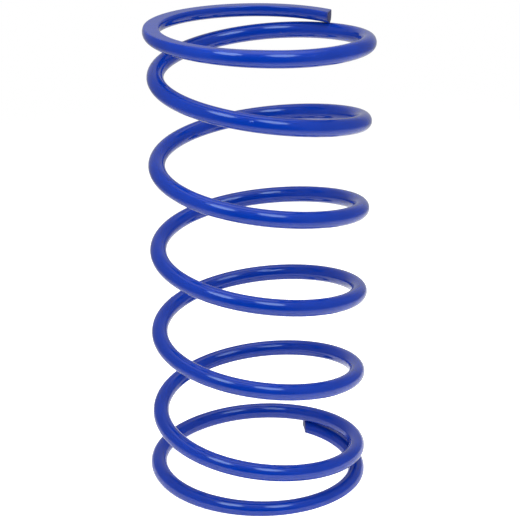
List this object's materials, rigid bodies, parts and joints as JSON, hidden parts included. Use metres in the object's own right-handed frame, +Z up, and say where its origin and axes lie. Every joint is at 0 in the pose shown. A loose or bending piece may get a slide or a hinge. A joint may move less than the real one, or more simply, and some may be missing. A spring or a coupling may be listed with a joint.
{
  "type": "torque spring",
  "caption": "Left-hand wound coil spring of glossy blue painted round wire with closed, ground ends; it presses a scooter's driven belt pulley shut.",
  "frame": {"origin": "on the coil's axis, at the lower ground face", "axes": "+Z up the coil's axis; the picture looks along +Y, with +X to the right"},
  "size_m": [0.0554, 0.0559, 0.117],
  "materials": {
    "blue_paint": "gloss"
  },
  "bodies": {
    "root": {"torque_spring": "blue_paint"}
  },
  "joints": []
}
